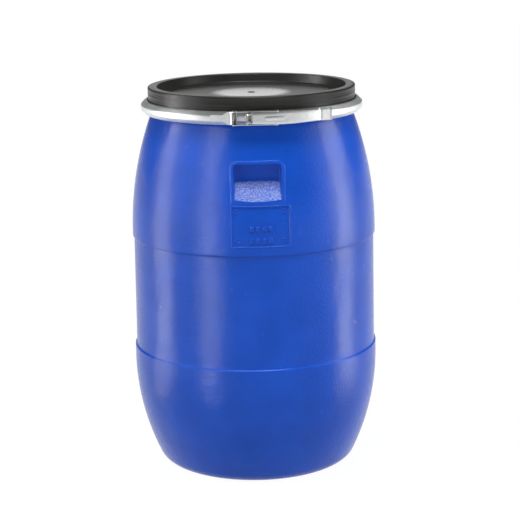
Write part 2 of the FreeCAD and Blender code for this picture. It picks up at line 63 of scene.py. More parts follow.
# ---- sizes in millimetres ----------------------------------------------------------------
WALL = 4.0
BASE_RADIUS, BASE_ROUND = 155.5, 30.0
BELLY_RADIUS, BELLY_ARC, BELLY_HEIGHT = 223.4, 430.0, 200.0
WAIST_HIGH = 426.2
WAIST_RADII = (220.5, 219.5)
SHOULDER_RADIUS, SHOULDER_ARC, SHOULDER_CENTRE = 222.0, 609.4, (-387.4, 432.3)
NECK_BORE = 178.0

GRIP_LOW, GRIP_HIGH, GRIP_HALF = 521.0, 583.5, 42.0
GRIP_DEEP, GRIP_FLOOR_BACK = 184.5, 551.5
GRIP_RIM, GRIP_RIM_PROUD = 6.3, 1.1

PANEL_LOW, PANEL_HIGH, PANEL_HALF, PANEL_TURN, PANEL_SINK = 443.3, 511.4, 49.5, 1.1, 1.6

BAND_Z, LATCH_Z = 661.0, 662.5
PIVOT = (206.0, -3.4)
LINK_PIN = (204.5, 9.4)
HOOK_PIN = (204.5, -10.4)
SHEET, LINK_SHEET = 1.5, 1.4


# ---- small geometry tools ----------------------------------------------------------------
def smooth(low, high, x):
    """0 below low, 1 above high and an even S between them."""
    t = min(max((x - low) / (high - low), 0.0), 1.0)
    return t * t * (3.0 - 2.0 * t)


def soft_max(a, b, blend):
    """The larger of two numbers, rounded where they meet."""
    t = max(blend - abs(a - b), 0.0) / blend
    return max(a, b) + t * t * blend * 0.25


def soft_min(a, b, blend):
    """The smaller of two numbers, rounded where they meet."""
    return -soft_max(-a, -b, blend)


def spread(first, last, steps):
    """Evenly spaced numbers from first to last, both included."""
    return [first + (last - first) * i / steps for i in range(steps + 1)]


def arc(centre, radius, first, last, steps):
    """Points of a circle arc in (radius, height), angles in degrees."""
    return [
        (centre[0] + radius * math.cos(math.radians(a)), centre[1] + radius * math.sin(math.radians(a)))
        for a in spread(first, last, steps)
    ]


def rounded(points, radii, steps=4):
    """An open or closed run of points with its corners rounded; a radius of 0 keeps a corner."""
    out = []
    for i, (point, radius) in enumerate(zip(points, radii)):
        if radius == 0:
            out.append(point)
            continue
        here = Vector(point)
        before = Vector(points[i - 1]) - here
        after = Vector(points[(i + 1) % len(points)]) - here
        half = before.angle(after) / 2
        reach = min(radius / math.tan(half), before.length * 0.49, after.length * 0.49)
        start, end = here + before.normalized() * reach, here + after.normalized() * reach
        for t in spread(0.0, 1.0, steps):
            bend = start * (1 - t) ** 2 + here * (2 * t * (1 - t)) + end * t**2
            out.append(tuple(bend))
    return out


def round_ring(angle, radius, height=0.0):
    """A point in metres at an angle round the drum, measured from -Y towards +X."""
    a = math.radians(angle)
    return Vector((radius * math.sin(a), -radius * math.cos(a), height)) * MM


def mesh_object(name, vertices, faces, material, shade_smooth=True):
    """A mesh object at the origin with its place in its mesh."""
    mesh = bpy.data.meshes.new(name)
    mesh.from_pydata([tuple(v) for v in vertices], [], faces)
    mesh.validate()
    mesh.update()
    mesh.polygons.foreach_set("use_smooth", [shade_smooth] * len(mesh.polygons))
    mesh.materials.append(material)
    piece = bpy.data.objects.new(name, mesh)
    bpy.context.collection.objects.link(piece)
    return piece


def grid_faces(rows, columns, wrap_columns=False, wrap_rows=False):
    """Quads over a grid of vertices that runs column by column within each row."""
    faces = []
    for i in range(rows if wrap_rows else rows - 1):
        for j in range(columns if wrap_columns else columns - 1):
            a = i * columns + j
            b = i * columns + (j + 1) % columns
            c = ((i + 1) % rows) * columns + (j + 1) % columns
            d = ((i + 1) % rows) * columns + j
            faces.append((a, b, c, d))
    return faces


def turned(name, profile, material, first=0.0, last=360.0, steps=144, closed=False):
    """A profile of (radius, height) turned about Z. Ends on the axis become single points."""
    whole = abs(last - first - 360.0) < 1e-6
    angles = spread(first, last, steps)
    if whole:
        angles = angles[:-1]
    columns = len(angles)
    vertices, rows = [], []
    for radius, height in profile:
        if radius < 1e-6:
            rows.append([len(vertices)] * columns)
            vertices.append(Vector((0, 0, height * MM)))
            continue
        rows.append(list(range(len(vertices), len(vertices) + columns)))
        vertices.extend(round_ring(a, radius, height) for a in angles)
    faces = []
    for i in range(len(rows) if closed else len(rows) - 1):
        low, high = rows[i], rows[(i + 1) % len(rows)]
        for j in range(columns if whole else columns - 1):
            k = (j + 1) % columns
            corners = [low[j], low[k], high[k], high[j]]
            faces.append(tuple(dict.fromkeys(corners)))
    if closed and not whole:
        faces.append(tuple(row[0] for row in rows))
        faces.append(tuple(row[-1] for row in reversed(rows)))
    piece = mesh_object(name, vertices, faces, material)
    if closed and not whole:
        piece.data.set_sharp_from_angle(angle=math.radians(50.0))
    return piece


def finish_edges(piece, width, angle=32.0, segments=2):
    """Round a piece's sharp edges a little, and keep its flats flat."""
    bevel = piece.modifiers.new("edge_round", "BEVEL")
    bevel.width = width * MM
    bevel.segments = segments
    bevel.limit_method = "ANGLE"
    bevel.angle_limit = math.radians(angle)
    bevel.harden_normals = False
    weighted = piece.modifiers.new("even_shading", "WEIGHTED_NORMAL")
    weighted.keep_sharp = True
    return piece


# ---- materials ---------------------------------------------------------------------------
def new_group(name, inputs, outputs):
    """An empty shader group with named sockets."""
    group = bpy.data.node_groups.new(name, "ShaderNodeTree")
    for label, kind, default in inputs:
        socket = group.interface.new_socket(label, in_out="INPUT", socket_type=kind)
        socket.default_value = default
    for label, kind in outputs:
        group.interface.new_socket(label, in_out="OUTPUT", socket_type=kind)
    return group, group.nodes.new("NodeGroupInput"), group.nodes.new("NodeGroupOutput")


def add_node(tree, kind, **settings):
    """Add a node and set its own properties."""
    node = tree.nodes.new(kind)
    for key, setting in settings.items():
        setattr(node, key, setting)
    return node


def noise(tree, vector, scale, detail=2.0, roughness=0.5):
    """A noise texture on the given coordinates."""
    node = add_node(tree, "ShaderNodeTexNoise")
    node.inputs["Scale"].default_value = scale
    node.inputs["Detail"].default_value = detail
    node.inputs["Roughness"].default_value = roughness
    tree.links.new(vector, node.inputs["Vector"])
    return node


def math_node(tree, operation, first, second):
    """A math node fed by sockets or numbers."""
    node = add_node(tree, "ShaderNodeMath", operation=operation)
    for socket, feed in zip(node.inputs, (first, second)):
        if isinstance(feed, (int, float)):
            socket.default_value = feed
        else:
            tree.links.new(feed, socket)
    return node.outputs[0]


def ramp(tree, feed, low, high, low_value=0.0, high_value=1.0):
    """Map a range of a value to another range, clamped."""
    node = add_node(tree, "ShaderNodeMapRange", interpolation_type="SMOOTHSTEP")
    tree.links.new(feed, node.inputs["Value"])
    limits = (("From Min", low), ("From Max", high), ("To Min", low_value), ("To Max", high_value))
    for label, number in limits:
        node.inputs[label].default_value = number
    return node.outputs["Result"]


def moulded_skin_group():
    """Skin of a moulded plastic: fine grain, slow waviness, and worn high spots and scuffs."""
    group, entry, leave = new_group(
        "moulded_skin",
        [("Grain Scale", "NodeSocketFloat", 900.0), ("Grain Depth", "NodeSocketFloat", 0.5),
         ("Wave Scale", "NodeSocketFloat", 14.0), ("Scuff Scale", "NodeSocketFloat", 40.0)],
        [("Height", "NodeSocketFloat"), ("Tone", "NodeSocketFloat"), ("Scuff", "NodeSocketFloat")])
    where = add_node(group, "ShaderNodeTexCoord").outputs["Object"]
    grain = noise(group, where, 900.0, 3.0, 0.6)
    wave = noise(group, where, 14.0, 2.0)
    scuff = noise(group, where, 40.0, 6.0, 0.7)
    for node, label in ((grain, "Grain Scale"), (wave, "Wave Scale"), (scuff, "Scuff Scale")):
        group.links.new(entry.outputs[label], node.inputs["Scale"])
    fine = math_node(group, "MULTIPLY", grain.outputs["Fac"], entry.outputs["Grain Depth"])
    slow = math_node(group, "MULTIPLY", wave.outputs["Fac"], 1.5)
    group.links.new(math_node(group, "ADD", fine, slow), leave.inputs["Height"])
    group.links.new(wave.outputs["Fac"], leave.inputs["Tone"])
    group.links.new(ramp(group, scuff.outputs["Fac"], 0.58, 0.75), leave.inputs["Scuff"])
    return group


def metal_skin_group():
    """Skin of galvanised sheet: crystal spangle, rolling lines and dull patches."""
    group, entry, leave = new_group(
        "galvanised_skin",
        [("Spangle Scale", "NodeSocketFloat", 160.0), ("Patch Scale", "NodeSocketFloat", 30.0)],
        [("Height", "NodeSocketFloat"), ("Spangle", "NodeSocketFloat"), ("Patch", "NodeSocketFloat")])
    where = add_node(group, "ShaderNodeTexCoord").outputs["Object"]
    spangle = add_node(group, "ShaderNodeTexVoronoi", feature="F1")
    group.links.new(where, spangle.inputs["Vector"])
    group.links.new(entry.outputs["Spangle Scale"], spangle.inputs["Scale"])
    patch = noise(group, where, 30.0, 5.0, 0.65)
    group.links.new(entry.outputs["Patch Scale"], patch.inputs["Scale"])
    stretch = add_node(group, "ShaderNodeMapping")
    stretch.inputs["Scale"].default_value = (1.0, 1.0, 14.0)
    group.links.new(where, stretch.inputs["Vector"])
    lines = noise(group, stretch.outputs["Vector"], 70.0, 3.0)
    bright = add_node(group, "ShaderNodeSeparateColor")
    group.links.new(spangle.outputs["Color"], bright.inputs["Color"])
    group.links.new(bright.outputs[0], leave.inputs["Spangle"])
    group.links.new(patch.outputs["Fac"], leave.inputs["Patch"])
    relief = math_node(group, "ADD", lines.outputs["Fac"],
                       math_node(group, "MULTIPLY", patch.outputs["Fac"], 0.6))
    group.links.new(relief, leave.inputs["Height"])
    return group


def new_material(name):
    """A material with a Principled shader; gives its tree and shader."""
    material = bpy.data.materials.new(name)
    material.use_nodes = True
    return material, material.node_tree, material.node_tree.nodes["Principled BSDF"]


def mixed_colour(tree, factor, first, second):
    """A colour that goes from the first to the second with the factor."""
    mix = add_node(tree, "ShaderNodeMix", data_type="RGBA")
    tree.links.new(factor, mix.inputs["Factor"])
    mix.inputs["A"].default_value = (*first, 1.0)
    mix.inputs["B"].default_value = (*second, 1.0)
    return mix.outputs["Result"]


def add_bump(tree, shader, height, strength, distance):
    """Feed a height into the shader's normal."""
    bump = add_node(tree, "ShaderNodeBump")
    bump.inputs["Strength"].default_value = strength
    bump.inputs["Distance"].default_value = distance
    tree.links.new(height, bump.inputs["Height"])
    tree.links.new(bump.outputs["Normal"], shader.inputs["Normal"])


def plastic(name, deep, light, grain, rough, bump_depth, skin, wave=14.0, sheen=0.5):
    """A moulded plastic with tone changes, scuffed spots and a fine skin."""
    material, tree, shader = new_material(name)
    group = add_node(tree, "ShaderNodeGroup", node_tree=skin)
    group.inputs["Grain Scale"].default_value = grain
    group.inputs["Wave Scale"].default_value = wave
    tone = mixed_colour(tree, ramp(tree, group.outputs["Tone"], 0.3, 0.7), deep, light)
    tree.links.new(tone, shader.inputs["Base Color"])
    worn = math_node(tree, "MULTIPLY", group.outputs["Scuff"], 0.10)
    tree.links.new(math_node(tree, "ADD", worn, rough), shader.inputs["Roughness"])
    add_bump(tree, shader, group.outputs["Height"], 1.0, bump_depth)
    shader.inputs["IOR"].default_value = 1.5
    shader.inputs["Specular IOR Level"].default_value = sheen
    return material


def sheet_metal(name, dull, bright, rough, spangle, skin):
    """Zinc coated steel with spangle and cloudy patches."""
    material, tree, shader = new_material(name)
    group = add_node(tree, "ShaderNodeGroup", node_tree=skin)
    group.inputs["Spangle Scale"].default_value = spangle
    crystals = math_node(tree, "MULTIPLY", group.outputs["Spangle"], 0.45)
    cloud = math_node(tree, "MULTIPLY", group.outputs["Patch"], 0.8)
    tone = mixed_colour(tree, math_node(tree, "ADD", crystals, cloud), dull, bright)
    tree.links.new(tone, shader.inputs["Base Color"])
    shader.inputs["Metallic"].default_value = 0.85
    spread_rough = math_node(tree, "MULTIPLY", group.outputs["Patch"], 0.22)
    glint = math_node(tree, "MULTIPLY", group.outputs["Spangle"], 0.08)
    tree.links.new(math_node(tree, "ADD", math_node(tree, "ADD", spread_rough, glint), rough),
                   shader.inputs["Roughness"])
    add_bump(tree, shader, group.outputs["Height"], 0.5, 0.00012)
    return material


def grip_grain_and_painted_highlight(material):
    """Deeper grain on the sloping floors of the hand grips, with light specks mixed into their colour as a
    painted highlight.
    """
    tree = material.node_tree
    shader = tree.nodes["Principled BSDF"]
    where = add_node(tree, "ShaderNodeTexCoord")
    place, facing = add_node(tree, "ShaderNodeSeparateXYZ"), add_node(tree, "ShaderNodeSeparateXYZ")
    tree.links.new(where.outputs["Object"], place.inputs[0])
    tree.links.new(add_node(tree, "ShaderNodeNewGeometry").outputs["True Normal"], facing.inputs[0])
    above = ramp(tree, place.outputs["Z"], 0.518, 0.523)
    below = ramp(tree, place.outputs["Z"], 0.551, 0.556, 1.0, 0.0)
    tilt = ramp(tree, facing.outputs["Z"], 0.35, 0.6)
    floor = math_node(tree, "MULTIPLY", math_node(tree, "MULTIPLY", above, below), tilt)
    specks = noise(tree, where.outputs["Object"], 620.0, 2.0, 0.7)
    # Painted highlight: light specks mixed into the base colour of the up-facing grip floors, in place of the
    # light these floors reflect.
    pale = math_node(tree, "MULTIPLY", ramp(tree, specks.outputs["Fac"], 0.42, 0.62, 0.1, 0.75), floor)
    mix = add_node(tree, "ShaderNodeMix", data_type="RGBA")
    tree.links.new(pale, mix.inputs["Factor"])
    tree.links.new(shader.inputs["Base Color"].links[0].from_socket, mix.inputs["A"])
    mix.inputs["B"].default_value = (0.46, 0.54, 0.82, 1.0)
    tree.links.new(mix.outputs["Result"], shader.inputs["Base Color"])
    bump = shader.inputs["Normal"].links[0].from_node
    rough = math_node(tree, "MULTIPLY", math_node(tree, "MULTIPLY", specks.outputs["Fac"], floor), 1.2)
    skin = bump.inputs["Height"].links[0].from_socket
    tree.links.new(math_node(tree, "ADD", skin, rough), bump.inputs["Height"])


def polish_middle(material, radius, share):
    """Make a material smoother within a radius of the upright axis, down to a share of its roughness."""
    tree = material.node_tree
    where = add_node(tree, "ShaderNodeTexCoord").outputs["Object"]
    flat = add_node(tree, "ShaderNodeVectorMath", operation="MULTIPLY")
    flat.inputs[1].default_value = (1.0, 1.0, 0.0)
    tree.links.new(where, flat.inputs[0])
    reach = add_node(tree, "ShaderNodeVectorMath", operation="LENGTH")
    tree.links.new(flat.outputs["Vector"], reach.inputs[0])
    keep = ramp(tree, reach.outputs["Value"], radius - 0.014, radius + 0.014, share, 1.0)
    rough = tree.nodes["Principled BSDF"].inputs["Roughness"]
    tree.links.new(math_node(tree, "MULTIPLY", rough.links[0].from_socket, keep), rough)


moulded_skin = moulded_skin_group()
galvanised_skin = metal_skin_group()
BLUE = plastic("blue_plastic", (0.004, 0.071, 0.51), (0.006, 0.083, 0.58), 240.0, 0.225, 0.0012,
               moulded_skin, sheen=0.22)
grip_grain_and_painted_highlight(BLUE)
BLACK = plastic("black_plastic", (0.014, 0.014, 0.013), (0.022, 0.021, 0.020), 700.0, 0.34, 0.00006,
                moulded_skin, sheen=0.35)
polish_middle(BLACK, 0.066, 0.4)
RUBBER = plastic("seal_rubber", (0.012, 0.012, 0.012), (0.022, 0.022, 0.022), 1400.0, 0.75, 0.0004,
                 moulded_skin)
ZINC = sheet_metal("galvanised_sheet", (0.60, 0.62, 0.62), (0.76, 0.78, 0.78), 0.25, 260.0, galvanised_skin)
# Painted shade: this steel's dark base colour stands in for the shadow ring round the rivet heads; the pins
# share it.
SHADE_DARKENED_STEEL = sheet_metal("plated_steel", (0.13, 0.13, 0.13), (0.26, 0.26, 0.25), 0.26, 420.0, galvanised_skin)


# ---- drum body ---------------------------------------------------------------------------
def shoulder_at(height, inset=0.0):
    """Radius of the shoulder's curve at a height."""
    reach = SHOULDER_ARC - inset
    return SHOULDER_CENTRE[0] + math.sqrt(reach**2 - (height - SHOULDER_CENTRE[1]) ** 2)


def belly_at(height, inset=0.0):
    """Radius of the belly's curve at a height."""
    reach = BELLY_ARC - inset
    return BELLY_RADIUS - BELLY_ARC + math.sqrt(reach**2 - (height - BELLY_HEIGHT) ** 2)


def grip_heights():
    """Row heights through a hand grip, close together at its edges."""
    rows = [501, 506, 509.2, 510.2, 511, 511.8, 512.6, 514, 515.7, 517.5, 519, 520]
    rows += [520.6, 521.2, 522, 523.2, 525]
    rows += spread(528, 543, 5) + [545, 546.5, 548, 549.5, 551.5, 554]
    rows += spread(558, 574, 4) + spread(576, 594, 18) + [597, 601]
    return [float(row) for row in rows]


def outer_profile():
    """The drum's outside from the middle of the base to the mouth, as (radius, height)."""
    rows = [(0.0, 9.0), (40.0, 9.0), (80.0, 9.0), (112.0, 9.0), (125.0, 8.9), (129.0, 8.3),
            (134.0, 5.4), (139.0, 2.4), (142.5, 0.7), (146.0, 0.1), (151.0, 0.0)]
    rows += arc((BASE_RADIUS, BASE_ROUND), BASE_ROUND, -90, -26, 12)
    rows += [(belly_at(z), z) for z in spread(24.0, BELLY_HEIGHT, 26)]
    low, high = WAIST_RADII
    rows += [(BELLY_RADIUS, 208.0), (BELLY_RADIUS, 215.0), (BELLY_RADIUS, 219.5),
             (BELLY_RADIUS - 0.05, 221.2), (BELLY_RADIUS - 0.3, 222.1), (BELLY_RADIUS - 0.9, 222.8),
             (low + 1.2, 223.3), (low + 0.5, 223.9), (low + 0.15, 224.8), (low, 226.2)]
    rows += [(low + (high - low) * (z - 222.5) / 204.0, z) for z in spread(232.0, 418.0, 24)]
    top = shoulder_at(WAIST_HIGH + 3)
    rows += [(high, 421.5), (high, 423.6), (high + 0.12, 424.6), (high + 0.5, 425.3), (high + 1.3, 425.8),
             (top - 0.35, 426.3), (top - 0.08, 427.0), (top, 428.6)]
    heights = [432.0, 437.0, 440.5, 442.2, 443.0, 443.8, 444.6, 446.0] + spread(452.0, 494.0, 7)
    heights += grip_heights() + spread(606.0, 646.0, 8)
    rows += [(shoulder_at(z), z) for z in heights]
    rows += [(182.6, 648.0), (182.2, 649.2), (182.6, 650.2), (184.0, 650.8), (188.0, 651.2), (191.0, 651.6),
             (192.3, 652.2), (195.9, 655.6), (196.6, 656.6), (196.8, 657.8), (196.8, 659.3),
             (196.4, 660.3), (195.5, 660.9), (194.4, 661.0), (186.0, 661.0), (180.0, 661.0),
             (178.6, 660.7), (178.1, 659.8)]
    return rows


def inner_profile():
    """The drum's inside from the mouth down to the middle of the base."""
    rows = [(NECK_BORE, 655.0), (NECK_BORE, 649.0)]
    rows += [(shoulder_at(z, WALL), z) for z in spread(643.0, 430.0, 26)]
    low, high = WAIST_RADII
    rows += [(SHOULDER_RADIUS - WALL, 427.0), (high - WALL + 1.0, 424.5), (high - WALL, 422.0)]
    rows += [(high - WALL, 340.0), (low - WALL, 300.0), (low - WALL, 227.0), (BELLY_RADIUS - WALL, 223.0)]
    rows += [(belly_at(z, WALL), z) for z in spread(200.0, 26.0, 18)]
    rows += arc((BASE_RADIUS, BASE_ROUND), BASE_ROUND - WALL, -24, -90, 8)
    rows += [(146.0, 4.3), (136.0, 8.5), (128.0, 12.6), (100.0, 13.0), (50.0, 13.0), (0.0, 13.0)]
    return rows


def grip_columns():
    """Column angles over a half turn, close together at a hand grip's sides."""
    across = spread(0.0, 33.0, 9) + spread(34.5, 55.5, 28) + [58.0, 62.0]
    near = [math.degrees(math.asin(x / 208.0)) for x in across]
    far = spread(19.5, 90.0, 29)
    side = near + far
    return [-a for a in reversed(side[1:])] + side


def grip_edge(height):
    """Half width of a hand grip's mouth at a height."""
    return GRIP_HALF - 1.0 + 1.4 * smooth(GRIP_LOW, GRIP_HIGH, height)


def outside_box(x, z, half, top, corner):
    """Distance outside a box that is open below, with rounded top corners."""
    dx, dz = abs(x) - half + corner, z - top + corner
    if dx > 0 and dz > 0:
        return math.hypot(dx, dz) - corner
    return max(dx, dz) - corner


def grip_point(x, z, surface):
    """Outward distance and height of the skin at a place on or in a hand grip."""
    edge = outside_box(x, z, grip_edge(z), GRIP_HIGH, 8.5)
    below = smooth(GRIP_LOW - 5.0, GRIP_LOW + 3.0, z)
    rim = GRIP_RIM_PROUD * (1.0 - smooth(GRIP_RIM - 2.6, GRIP_RIM, edge)) * below
    skin = surface + rim
    if edge > 2.5 or z < GRIP_LOW - 3.0:
        return skin, z
    wall = surface + GRIP_RIM_PROUD * below + (edge + 0.4) * 8.5
    floor = 215.5 - (z - GRIP_LOW)
    back = GRIP_DEEP + 2.0 * (x / 37.0) ** 2
    pocket = soft_max(soft_max(floor, back, 5.0), wall, 3.0)
    out = soft_min(skin, pocket, 1.6)
    depth = min(max((surface - out) / 30.0, 0.0), 1.0)
    return out, z + 6.0 * depth * smooth(GRIP_FLOOR_BACK + 4.0, GRIP_HIGH - 3.0, z)


def drum_vertex(radius, height, angle):
    """A point of the drum's outside with the hand grips at the front and back."""
    half_turn = 180.0 * round(angle / 180.0)
    local = math.radians(angle - half_turn)
    rows = smooth(460.0, 512.0, height) * (1.0 - smooth(598.0, 640.0, height))
    sideways = 1.0 - smooth(math.radians(15), math.radians(34), abs(local))
    if rows * sideways > 0:
        straight = math.asin(min(max(208.0 * math.sin(local) / radius, -1.0), 1.0))
        local += (straight - local) * rows * sideways
    x, out = radius * math.sin(local), radius * math.cos(local)
    if abs(x) < 62.0 and height < 515.0 and round(angle / 180.0) % 2 == 0:
        across = x - math.sin(math.radians(PANEL_TURN)) * out
        inside = min(PANEL_HALF - abs(across), height - PANEL_LOW, PANEL_HIGH - height)
        sunk = PANEL_SINK * smooth(-0.6, 0.6, inside)
        x, out = x * (1.0 - sunk / radius), out * (1.0 - sunk / radius)
        radius -= sunk
    if abs(x) < 62.0 and 512.0 < height < 600.0:
        bulge = math.sqrt(radius**2 - x**2)
        out, height = grip_point(x, height, bulge)
    sign = -1.0 if round(angle / 180.0) % 2 else 1.0
    return Vector((sign * x, -sign * out, height)) * MM


def make_drum():
    """Outside with grips, rolled mouth and inside, as one closed skin."""
    half = grip_columns()
    angles = half[:-1] + [a + 180.0 for a in half[:-1]]
    columns = len(angles)
    vertices, rows = [], []
    for number, (radius, height) in enumerate(outer_profile() + inner_profile()):
        outside = number < len(outer_profile())
        if radius < 1e-6:
            rows.append([len(vertices)] * columns)
            vertices.append(Vector((0, 0, height * MM)))
            continue
        rows.append(list(range(len(vertices), len(vertices) + columns)))
        for angle in angles:
            if outside and 440.0 < height < 645.0 and radius > 190.0:
                vertices.append(drum_vertex(radius, height, angle))
                continue
            point = round_ring(angle, radius, height)
            vertices.append(clear_of_tray(point) if not outside else point)
    faces = []
    for low, high in zip(rows, rows[1:]):
        for j in range(columns):
            k = (j + 1) % columns
            faces.append(tuple(dict.fromkeys((low[j], low[k], high[k], high[j]))))
    return mesh_object("drum_shell", vertices, faces, BLUE)


def clear_of_tray(point):
    """Push the inside skin inwards behind a hand grip, so the wall stays whole."""
    x, out, z = point.x / MM, abs(point.y) / MM, point.z / MM
    side = 1.0 - smooth(GRIP_HALF + 2.0, GRIP_HALF + 9.0, abs(x))
    level = smooth(GRIP_LOW - 12.0, GRIP_LOW + 4.0, z) * (1.0 - smooth(GRIP_HIGH + 6.0, GRIP_HIGH + 18.0, z))
    if side * level <= 0:
        return point
    floor = 215.5 - (z - GRIP_LOW) - 1.5 * WALL
    inner = max(floor, GRIP_DEEP - WALL)
    new_out = min(out, out + (inner - out) * side * level)
    return Vector((point.x, math.copysign(new_out * MM, point.y), point.z))


# ---- pieces that repeat ------------------------------------------------------------------
def scatter_tree():
    """Geometry nodes that set one shape on every point, along the point's facing."""
    tree = bpy.data.node_groups.new("set_on_points", "GeometryNodeTree")
    for label, kind in (("Points", "NodeSocketGeometry"), ("Shape", "NodeSocketObject"),
                        ("Size", "NodeSocketFloat"), ("Finish", "NodeSocketMaterial")):
        tree.interface.new_socket(label, in_out="INPUT", socket_type=kind)
    tree.interface.new_socket("Pieces", in_out="OUTPUT", socket_type="NodeSocketGeometry")
    entry, leave = tree.nodes.new("NodeGroupInput"), tree.nodes.new("NodeGroupOutput")
    shape = add_node(tree, "GeometryNodeObjectInfo", transform_space="ORIGINAL")
    facing = add_node(tree, "GeometryNodeInputNamedAttribute", data_type="FLOAT_VECTOR")
    facing.inputs["Name"].default_value = "facing"
    align = add_node(tree, "FunctionNodeAlignRotationToVector", axis="Z")
    place = add_node(tree, "GeometryNodeInstanceOnPoints")
    real = add_node(tree, "GeometryNodeRealizeInstances")
    finish = add_node(tree, "GeometryNodeSetMaterial")
    link = tree.links.new
    link(entry.outputs["Points"], place.inputs["Points"])
    link(entry.outputs["Shape"], shape.inputs["Object"])
    link(shape.outputs["Geometry"], place.inputs["Instance"])
    link(facing.outputs["Attribute"], align.inputs["Vector"])
    link(align.outputs["Rotation"], place.inputs["Rotation"])
    link(entry.outputs["Size"], place.inputs["Scale"])
    link(place.outputs["Instances"], real.inputs["Geometry"])
    link(real.outputs["Geometry"], finish.inputs["Geometry"])
    link(entry.outputs["Finish"], finish.inputs["Material"])
    link(finish.outputs["Geometry"], leave.inputs["Pieces"])
    return tree


def scatter(name, shape, places, material, size=1.0):
    """One mesh with the shape set at each (point, facing), both in metres in the row frame."""
    mesh = bpy.data.meshes.new(name + "_points")
    mesh.from_pydata([tuple(point) for point, _ in places], [], [])
    facing = mesh.attributes.new("facing", "FLOAT_VECTOR", "POINT")
    for entry, (_, direction) in zip(facing.data, places):
        entry.vector = direction
    holder = bpy.data.objects.new(name + "_points", mesh)
    bpy.context.collection.objects.link(holder)
    modifier = holder.modifiers.new("pieces", "NODES")
    modifier.node_group = SET_ON_POINTS
    sockets = {item.name: item.identifier for item in SET_ON_POINTS.interface.items_tree
               if item.in_out == "INPUT"}
    modifier[sockets["Shape"]] = shape
    modifier[sockets["Size"]] = size
    modifier[sockets["Finish"]] = material
    evaluated = holder.evaluated_get(bpy.context.evaluated_depsgraph_get())
    made = bpy.data.meshes.new_from_object(evaluated)
    made.name = name
    bpy.data.objects.remove(holder)
    bpy.data.objects.remove(shape)
    piece = bpy.data.objects.new(name, made)
    bpy.context.collection.objects.link(piece)
    return piece


def small_turned(name, profile, material, steps=24):
    """A small shape turned about its own upright axis, centred at the origin."""
    return turned(name, profile, material, steps=steps)


def along_ring(angle):
    """Unit vectors along the ring and outwards at an angle."""
    a = math.radians(angle)
    return Vector((math.cos(a), math.sin(a), 0)), Vector((math.sin(a), -math.cos(a), 0))


def upright_pin(name, centre, profile, material):
    """A shape turned about an upright axis at (radius, angle) on the ring."""
    piece = turned(name, profile, material, steps=32)
    piece.data.transform(Matrix.Translation(round_ring(centre[1], centre[0], 0.0)))
    return piece


def pin_profile(radius, head_low, head_radius, head_thick):
    """Half section of a pin with a low dome head at each end, centred on the latch."""
    top = head_low + head_thick
    half = [(radius, head_low), (head_radius, head_low), (head_radius, head_low + head_thick * 0.45),
            (head_radius * 0.82, head_low + head_thick * 0.82), (head_radius * 0.45, top - 0.04), (0.0, top)]
    upper = [(r, LATCH_Z + z) for r, z in half]
    lower = [(r, LATCH_Z - z) for r, z in reversed(half)]
    return lower + upper


# ---- panel on the shoulder ---------------------------------------------------------------
def on_shoulder(across, height, proud):
    """A point on the panel's part of the shoulder, standing proud of it."""
    radius = shoulder_at(height) - PANEL_SINK + proud
    point = Vector((across, -math.sqrt(radius**2 - across**2), height)) * MM
    return Matrix.Rotation(math.radians(PANEL_TURN), 4, "Z") @ point


def raised_line(name, path, width, proud, material):
    """A rounded bead along a closed path of (across, height) round the sunk panel."""
    section = [(-1.0, -0.6), (-0.8, 0.35), (-0.4, 0.9), (0.0, 1.0), (0.4, 0.9), (0.8, 0.35), (1.0, -0.6)]
    vertices = []
    for i, point in enumerate(path):
        here = Vector(point)
        way = (Vector(path[(i + 1) % len(path)]) - Vector(path[i - 1])).normalized()
        side = Vector((way.y, -way.x))
        for reach, rise in section:
            spot = here + side * (reach * width / 2)
            vertices.append(on_shoulder(spot.x, spot.y, PANEL_SINK + rise * proud))
    return mesh_object(name, vertices, grid_faces(len(path), len(section), wrap_rows=True), material)


def box_path(half, low, high, corner, step=3.0):
    """A closed path round a box with rounded corners, with points close enough to bend."""
    points = rounded([(-half, low), (half, low), (half, high), (-half, high)], [corner] * 4, 5)
    path = []
    for i, point in enumerate(points):
        start, end = Vector(point), Vector(points[(i + 1) % len(points)])
        pieces = max(1, int((end - start).length / step))
        path += [tuple(start.lerp(end, k / pieces)) for k in range(pieces)]
    return path


def shoulder_pad(name, centre, half_wide, half_tall, corner, proud, material):
    """A blank raised pad that follows the shoulder's curve."""
    rim = box_path(half_wide, -half_tall, half_tall, corner, 1.5)
    vertices, faces = [], []
    for scale, rise in ((1.0, -0.3), (0.96, 0.5), (0.86, 0.95), (0.5, 1.0)):
        for across, up in rim:
            vertices.append(on_shoulder(centre[0] + across * scale, centre[1] + up * scale, rise * proud))
    vertices.append(on_shoulder(centre[0], centre[1], proud))
    count = len(rim)
    faces = grid_faces(4, count, wrap_columns=True)
    faces += [(3 * count + j, 3 * count + (j + 1) % count, 4 * count) for j in range(count)]
    return mesh_object(name, vertices, faces, material)


